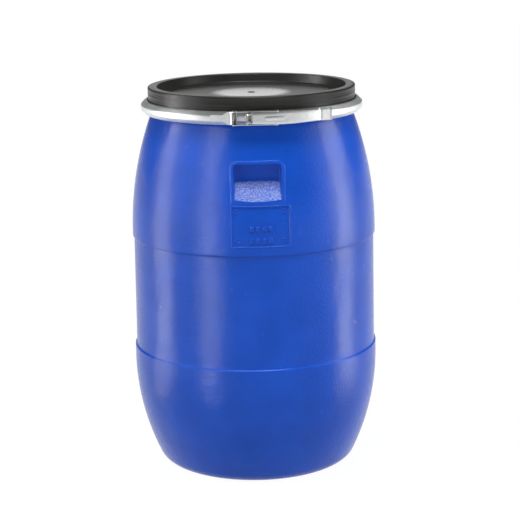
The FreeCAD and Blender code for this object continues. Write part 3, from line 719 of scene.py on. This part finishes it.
def make_panel():
    """Frame, four corner studs and two rows of blank pads on the sunk panel under the grip."""
    path = box_path(PANEL_HALF + 1.1, PANEL_LOW - 1.1, PANEL_HIGH + 1.1, 1.4)
    pieces = [raised_line("panel_frame", path, 2.4, 0.5, BLUE)]
    places = []
    for across in (-PANEL_HALF + 8.5, PANEL_HALF - 10.5):
        for height in (PANEL_LOW + 9.5, PANEL_HIGH - 8.5):
            point = on_shoulder(across, height, 0.0)
            out = (on_shoulder(across, height, 10.0) - point).normalized()
            places.append((point, out))
    ring = [(0.0, 0.3), (2.5, 0.3), (3.0, 0.7), (3.7, 1.15), (4.3, 0.95), (4.75, 0.3), (4.8, -0.6),
            (0.0, -0.6)]
    shape = small_turned("stud_shape", list(reversed(ring)), BLUE)
    pieces.append(scatter("panel_studs", shape, places, BLUE))
    for row, (height, tall, starts) in enumerate(((473.5, 4.6, (-15.5, -6.0, 7.0, 15.5)),
                                                  (452.5, 5.2, (-17.0, -5.5, 5.5, 17.0)))):
        for number, across in enumerate(starts):
            name = f"data_pad_{row + 1}_{number + 1}"
            pieces.append(shoulder_pad(name, (across, height), 3.4, tall, 1.2, 1.7, BLUE))
    for piece in pieces:
        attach(piece, "drum")


# ---- lid and gasket ----------------------------------------------------------------------
def lid_profile():
    """Half section of the lid: sunk panel, hollow rim, plug skirt, flange and seal groove."""
    corners = [
        (0.0, 678.5, 0), (173.6, 678.5, 1.0), (173.6, 651.0, 1.2), (176.6, 651.0, 1.2), (176.6, 693.5, 3.0),
        (184.1, 693.5, 2.5), (184.1, 661.3, 0.4), (185.8, 661.3, 0.4), (185.8, 666.0, 0.4),
        (193.2, 666.0, 0.4), (193.2, 661.3, 0.4), (196.6, 661.3, 0.8), (196.6, 665.9, 1.6),
        (191.6, 670.6, 2.0), (187.1, 671.4, 1.0),
    ]
    for groove in (675.2, 679.6, 686.0, 689.4):
        corners += [(187.1, groove - 0.6, 0), (186.85, groove, 0), (187.1, groove + 0.6, 0)]
    corners += [
        (187.1, 696.5, 5.2), (171.0, 696.5, 2.6), (167.2, 681.0, 2.6), (150.0, 681.0, 0), (143.0, 681.0, 0.8),
        (141.4, 683.0, 0.9), (138.8, 683.0, 0.9), (137.2, 682.0, 0.8), (100.0, 682.0, 0), (60.0, 682.0, 0),
        (20.0, 682.0, 0), (7.6, 682.0, 0), (6.9, 682.0, 0), (6.4, 682.5, 0), (5.6, 682.5, 0),
        (5.1, 681.9, 0), (2.9, 681.8, 0), (2.5, 682.9, 0), (1.6, 683.1, 0), (0.0, 683.1, 0),
    ]
    return rounded([c[:2] for c in corners], [c[2] for c in corners], 6)


def make_lid():
    """The lid and its rubber ring."""
    lid = turned("lid_moulding", lid_profile(), BLACK, steps=216)
    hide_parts("lid")
    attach(lid, "lid")
    section = rounded([(186.3, 661.1), (192.7, 661.1), (192.7, 666.0), (186.3, 666.0)],
                      [1.6, 1.6, 0.5, 0.5], 5)
    gasket = turned("gasket_ring", section, RUBBER, steps=180, closed=True)
    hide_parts("gasket")
    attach(gasket, "lid")


# ---- clamp band --------------------------------------------------------------------------
def band_section():
    """Closed section of the rolled band: a flat facet, two slopes and two lips."""
    outer = [(189.2, 12.0), (192.6, 11.6), (199.2, 5.0), (200.0, 3.6)]
    inner = [(198.8, 3.1), (198.1, 4.5), (192.1, 10.4), (189.2, 10.8)]
    corners = [(r, BAND_Z + z) for r, z in outer] + [(r, BAND_Z - z) for r, z in reversed(outer)]
    corners += [(r, BAND_Z - z) for r, z in reversed(inner)] + [(r, BAND_Z + z) for r, z in inner]
    radii = [0.55, 2.4, 2.2, 1.2, 1.2, 2.2, 2.4, 0.55, 0.55, 1.6, 1.4, 0.8, 0.8, 1.4, 1.6, 0.55]
    return list(reversed(rounded(corners, radii, 5)))


def make_band():
    """Right half rides with the lever's side; left half is baked in place and attached to no body."""
    right = turned("band_right_half", band_section(), ZINC, -9.5, 180.0, 150, closed=True)
    left = turned("band_left_half", band_section(), ZINC, -180.0, -12.5, 134, closed=True)
    for half in (right, left):
        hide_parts("clamp_band")
    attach(right, "ring")
    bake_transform(left)


# ---- sheet metal of the latch ------------------------------------------------------------
def on_latch(angle, radius, height):
    """A point in metres at an angle, radius and height above the latch's middle."""
    return round_ring(angle, radius, LATCH_Z + height)


def flat_plate(name, outline, low, high, material, round_over=0.25):
    """A flat plate: an outline of points in metres seen from above, between two heights."""
    count = len(outline)
    vertices = [Vector((x, y, height * MM)) for height in (low, high) for x, y in outline]
    faces = [tuple(reversed(range(count))), tuple(range(count, 2 * count))]
    for i in range(count):
        k = (i + 1) % count
        faces.append((i, k, count + k, count + i))
    return finish_edges(mesh_object(name, vertices, faces, material), round_over)


def capsule(first, last, first_radius, last_radius, steps=14):
    """Outline from above of a bar with round ends at two points in metres."""
    way = (last - first).to_2d()
    lean = math.atan2(way.y, way.x)
    points = []
    for centre, radius, start in ((last, last_radius, -90.0), (first, first_radius, 90.0)):
        for turn in spread(start, start + 180.0, steps):
            a = lean + math.radians(turn)
            points.append((centre.x + radius * MM * math.cos(a), centre.y + radius * MM * math.sin(a)))
    return points


def make_links():
    """Two link bars with their pin at the lever and the cross pin in the hook."""
    hook, pin = round_ring(HOOK_PIN[1], HOOK_PIN[0]), round_ring(LINK_PIN[1], LINK_PIN[0])
    for label, low in (("link_plate_upper", 10.6), ("link_plate_lower", -12.0)):
        outline = capsule(hook, pin, 4.6, 4.5)
        base = LATCH_Z + low
        plate = flat_plate(label.replace("plate", "bar"), outline, base, base + LINK_SHEET, ZINC, 0.35)
        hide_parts(label)
        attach(plate, "link")
    for label, centre in (("link_pin", LINK_PIN), ("anchor_pin", HOOK_PIN)):
        piece = upright_pin(label + "_turned", centre, pin_profile(2.5, 12.05, 3.7, 1.8), SHADE_DARKENED_STEEL)
        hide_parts(label)
        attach(piece, "link")
    piece = upright_pin("pivot_pin_turned", PIVOT, pin_profile(2.5, 8.75, 3.7, 1.7), SHADE_DARKENED_STEEL)
    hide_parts("pivot_pin")
    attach(piece, "ring")


LEVER_FIRST, LEVER_TIP = -1.9, 37.9


def lever_half_height(angle):
    """Half height of the lever: narrow at the pivot, widest past the link pin, then a long grip."""
    rise = 8.5 + 0.6 * smooth(-1.0, 5.0, angle) + 1.1 * smooth(6.0, 13.0, angle)
    rise -= 1.3 * smooth(15.0, 29.5, angle)
    return rise + 0.5 * smooth(31.0, 36.0, angle)


def lever_radius(angle):
    """Radius of the lever's outer face: it follows the band, dips and flares to the tip."""
    dip = -1.0 * smooth(30.6, 31.6, angle) * (1.0 - smooth(31.8, 33.4, angle))
    return 209.0 + dip + 4.4 * smooth(31.6, 40.5, angle) + 1.2 * smooth(36.4, 37.9, angle) ** 2


def lever_flange(angle):
    """Depth of the lever's side flanges."""
    deep = 8.3 * smooth(-2.6, -0.6, angle) + 0.0
    return max(1.4, deep * (1.0 - smooth(29.5, 31.8, angle)))


def rib_rise(angle, height):
    """Height of the pressed rib on the lever's face."""
    along = (angle - 5.0 if angle < 5.0 else max(angle - 12.6, 0.0)) * 3.65
    distance = math.hypot(along, height)
    return 0.7 * (1.0 - smooth(1.2, 3.6, distance)) * (1.0 - 0.7 * smooth(8.0, 14.0, angle))


def lever_row(angle):
    """Points across the lever from the lower flange's edge round the face to the upper one."""
    half, radius, deep = lever_half_height(angle), lever_radius(angle), lever_flange(angle)
    corner = min(2.2, deep)
    row = [(radius - deep, -half), (radius - deep * 0.6 - corner * 0.4, -half)]
    for turn in spread(0.0, 90.0, 5):
        a = math.radians(turn)
        row.append((radius - corner + corner * math.sin(a), -half + corner - corner * math.cos(a)))
    flat = half - corner
    for up in spread(-flat, flat, 22)[1:-1]:
        row.append((radius + rib_rise(angle, up), up))
    row += [(r, -z) for r, z in reversed(row[:7])]
    return [on_latch(angle, r, z) for r, z in row]


def make_lever():
    """Pressed channel lever with a rib, pivot ears and a flared thumb tab."""
    angles = spread(LEVER_FIRST, 16.0, 70) + spread(16.6, 29.4, 14) + spread(29.8, LEVER_TIP, 26)
    rows = [lever_row(angle) for angle in angles]
    vertices = [point for row in rows for point in row]
    lever = mesh_object("lever_channel", vertices, grid_faces(len(rows), len(rows[0])), ZINC)
    sheet = lever.modifiers.new("sheet", "SOLIDIFY")
    sheet.thickness = SHEET * MM
    sheet.offset = -1.0
    finish_edges(lever, 0.3, 50.0)
    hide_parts("lever")
    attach(lever, "lever")
    pivot = round_ring(PIVOT[1], PIVOT[0])
    arm = round_ring(1.2, 204.2)
    for side, low in (("upper", 7.0), ("lower", -8.5)):
        base = LATCH_Z + low
        ear = flat_plate(f"lever_ear_{side}", capsule(pivot, arm, 5.0, 4.0), base, base + SHEET,
                         ZINC)
        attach(ear, "lever")


def bent_sheet(name, profile, half_height, thickness, material, rows_up=12, relief=None):
    """Sheet bent along a run of (angle, radius), as tall as half_height(angle) says."""
    vertices = []
    for angle, radius in profile:
        half = half_height(angle)
        for up in spread(-half, half, rows_up):
            rise = relief(angle, up) if relief else 0.0
            vertices.append(on_latch(angle, radius + rise, up))
    piece = mesh_object(name, vertices, grid_faces(len(profile), rows_up + 1), material)
    sheet = piece.modifiers.new("sheet", "SOLIDIFY")
    sheet.thickness = thickness * MM
    sheet.offset = -1.0
    return finish_edges(piece, 0.25, 50.0)


def hook_half_height(angle):
    """Half height of the hook bracket: a narrow strip that flares to the hook."""
    round_end = 1.2 * (1.0 - smooth(-22.7, -22.1, angle))
    return 5.2 - round_end + 5.7 * smooth(-16.9, -13.6, angle) - 0.6 * smooth(-12.0, -11.7, angle)


def pierced_lug(angle, up):
    """A small three cornered lance pressed into the hook plate."""
    across, rise = (angle + 13.5) * 3.55, up - 0.8
    inside = min(across + 1.1, 1.6 - across - abs(rise) * 0.7, 2.0 - abs(rise))
    return -1.3 * smooth(-0.1, 0.5, inside) + 0.35 * math.exp(-(inside + 0.5) ** 2 / 0.12)


def make_anchor_bracket():
    """Hook bracket: strip on the band, flared plate, ridge and the lip that holds the cross pin."""
    profile = [(a, 201.7) for a in spread(-22.7, -15.2, 14)]
    profile += [(a, 201.7 + 0.5 * smooth(-15.2, -12.6, a)) for a in spread(-15.0, -12.6, 16)]
    profile += [(-12.3, 202.6), (-12.05, 203.3), (-11.85, 204.0), (-11.65, 204.2), (-11.5, 203.7),
                (-11.4, 202.9), (-11.25, 202.1), (-11.0, 201.7), (-10.4, 201.55), (-9.9, 201.6),
                (-9.6, 201.9), (-9.4, 202.5), (-9.3, 203.2), (-9.25, 203.7)]
    bracket = bent_sheet("hook_bracket", profile, hook_half_height, 1.2, ZINC, 26, pierced_lug)
    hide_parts("anchor_bracket")
    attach(bracket, "ring_tail")


def make_pivot_bracket():
    """Saddle with two ears and a cross wall that carries the lever's pivot."""
    profile = [(a, 201.55) for a in spread(-5.2, 7.6, 20)]
    saddle = bent_sheet("pivot_saddle", profile, lambda angle: 6.4, SHEET, ZINC, 6)
    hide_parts("pivot_bracket")
    pieces = [saddle]
    pivot = round_ring(PIVOT[1], PIVOT[0])
    along, out = along_ring(PIVOT[1])
    foot = 4.6
    for side, low in (("upper", 5.0), ("lower", -6.5)):
        outline = [(pivot + along * (x * MM) + out * (y * MM)).to_2d()[:]
                   for x, y in [(-5.6, -foot), (4.0, -foot)]]
        for turn in spread(0.0, 150.0, 10):
            a = math.radians(turn)
            spot = pivot + (along * math.cos(a) + out * math.sin(a)) * (4.0 * MM)
            outline.append(spot.to_2d()[:])
        outline.append((pivot + along * (-5.6 * MM) + out * (-1.0 * MM)).to_2d()[:])
        pieces.append(flat_plate(f"pivot_ear_{side}", outline, LATCH_Z + low, LATCH_Z + low + SHEET, ZINC))
    wall = [(pivot + along * (x * MM) + out * (y * MM)).to_2d()[:]
            for x, y in ((-6.4, -4.4), (-5.0, -4.4), (-5.0, -1.0), (-6.4, -1.0))]
    pieces.append(flat_plate("pivot_cross_wall", wall, LATCH_Z - 6.5, LATCH_Z + 6.5, ZINC, 0.4))
    for piece in pieces:
        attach(piece, "ring")


def tubular_head(radius, height, hollow, foot):
    """Half section of a rivet head with a hollow in its middle, standing on z = 0."""
    return [(0.0, -foot), (radius, -foot), (radius, height * 0.3), (radius * 0.93, height * 0.7),
            (radius * 0.78, height), (hollow + 0.35, height), (hollow, height * 0.75), (hollow * 0.9, 0.1),
            (0.0, 0.0)]


def make_rivets():
    """Hollow rivet heads on both brackets, with their closing heads inside the band."""
    for label, angles, body, top in (("anchor", (-20.9, -16.8), "ring_tail", 201.7),
                                     ("pivot", (0.9, 5.6), "ring", 201.55)):
        places = []
        for angle in angles:
            out = along_ring(angle)[1]
            places.append((round_ring(angle, top, BAND_Z), out))
            places.append((round_ring(angle, 198.5, BAND_Z), -out))
        shape = small_turned("rivet_shape", tubular_head(3.1, 1.1, 1.7, 0.9), SHADE_DARKENED_STEEL)
        rivets = scatter(f"{label}_rivets", shape, places, SHADE_DARKENED_STEEL)
        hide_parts(f"{label}_rivet_1", f"{label}_rivet_2")
        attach(rivets, body)


# ---- stage -------------------------------------------------------------------------------
def make_stage():
    """Pale floor that lets the low studio light through, and a bright surround."""
    material, tree, shader = new_material("studio_floor")
    shader.inputs["Base Color"].default_value = (0.12, 0.12, 0.12, 1.0)
    shader.inputs["Roughness"].default_value = 0.9
    shader.inputs["Emission Color"].default_value = (1.0, 1.0, 1.0, 1.0)
    shader.inputs["Emission Strength"].default_value = 0.95
    floor = mesh_object("floor", [(-9, -9, 0), (9, -9, 0), (9, 9, 0), (-9, 9, 0)], [(0, 1, 2, 3)],
                        material, False)
    floor.visible_diffuse = False
    floor.visible_shadow = False
    world = bpy.data.worlds.new("studio")
    bpy.context.scene.world = world
    world.use_nodes = True
    tree = world.node_tree
    path = add_node(tree, "ShaderNodeLightPath")
    seen = ((path.outputs["Is Camera Ray"], 1.0), (path.outputs["Is Glossy Ray"], WORLD_GLOSS))
    level = WORLD_FILL
    for ray, strength in seen:
        change = math_node(tree, "MULTIPLY", ray, strength - WORLD_FILL)
        level = math_node(tree, "ADD", change, level)
    surround = tree.nodes["Background"]
    surround.inputs["Color"].default_value = (1.0, 1.0, 1.0, 1.0)
    tree.links.new(level, surround.inputs["Strength"])


WORLD_FILL, WORLD_GLOSS = 0.32, 0.14


def soft_light(name, angle, distance, height, width, tall, power, aim_height=0.35):
    """A rectangular soft box that looks at the drum from an angle round it."""
    data = bpy.data.lights.new(name, "AREA")
    data.shape = "RECTANGLE"
    data.size, data.size_y = width, tall
    data.energy = power
    light = bpy.data.objects.new(name, data)
    bpy.context.collection.objects.link(light)
    light.location = round_ring(angle, distance / MM, height / MM)
    away = light.location - Vector((0, 0, aim_height))
    light.rotation_euler = away.to_track_quat("Z", "Y").to_euler()
    return light


def make_lights():
    """Tall strips that only shine in reflections, soft fills, a box over the front, one behind."""
    strips = (("left_strip", -96.0, 0.3, 56.0), ("left_front_strip", -44.0, 0.26, 56.0),
              ("right_strip", 91.0, 0.3, 66.0))
    for name, angle, wide, power in strips:
        strip = soft_light(name, angle, 2.5, 1.25, wide, 3.9, power, 1.25)
        strip.visible_diffuse = False
        strip.data.cycles.use_multiple_importance_sampling = False
    soft_light("left_fill", -75.0, 2.6, 0.9, 1.4, 2.0, 16.0, 0.4)
    soft_light("right_fill", 75.0, 2.6, 0.9, 1.4, 2.0, 16.0, 0.4)
    soft_light("front_top_box", 6.0, 0.75, 2.6, 1.5, 1.0, 43.0, 0.5)
    soft_light("low_left_fill", -48.0, 2.6, 0.25, 1.2, 0.5, 14.0, 0.05).visible_glossy = False
    soft_light("low_right_fill", 48.0, 2.6, 0.25, 1.2, 0.5, 11.0, 0.05).visible_glossy = False
    soft_light("back_box", 179.0, 2.6, 1.02, 0.9, 0.5, 1.8, 0.68).visible_diffuse = False


def shine_only_on(name, *materials):
    """Let a light shine only on the pieces made of these materials."""
    lit = bpy.data.collections.new(name + "_pieces")
    for obj in bpy.data.objects:
        if obj.type == "MESH" and set(materials) & set(obj.data.materials):
            lit.objects.link(obj)
    bpy.data.objects[name].light_linking.receiver_collection = lit


def make_camera():
    """Long lens a little above the rim, turned a little anticlockwise round the drum."""
    data = bpy.data.cameras.new("camera")
    data.sensor_width = 36.0
    data.lens = 116.75
    data.clip_start, data.clip_end = 0.05, 60.0
    camera = bpy.data.objects.new("camera", data)
    bpy.context.collection.objects.link(camera)
    turn = Matrix.Rotation(math.radians(-2.4), 4, "Z")
    look = Euler((math.radians(90.0 - 12.754), 0, 0)).to_matrix().to_4x4()
    roll = Matrix.Rotation(math.radians(-0.954), 4, "Z")
    place = Matrix.Translation((0.0105, -3.0391, 1.0584))
    camera.matrix_world = turn @ place @ look @ roll
    bpy.context.scene.camera = camera


SET_ON_POINTS = scatter_tree()
make_camera()
make_stage()
make_lights()
bpy.context.scene.view_settings.view_transform = "Standard"

drum = make_drum()
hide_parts("drum_body")
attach(drum, "drum")
make_panel()
make_lid()
make_band()
make_links()
make_lever()
make_anchor_bracket()
make_pivot_bracket()
make_rivets()
shine_only_on("left_front_strip", BLUE)
shine_only_on("right_strip", BLUE, ZINC, SHADE_DARKENED_STEEL)
shine_only_on("front_top_box", BLUE, BLACK, RUBBER)
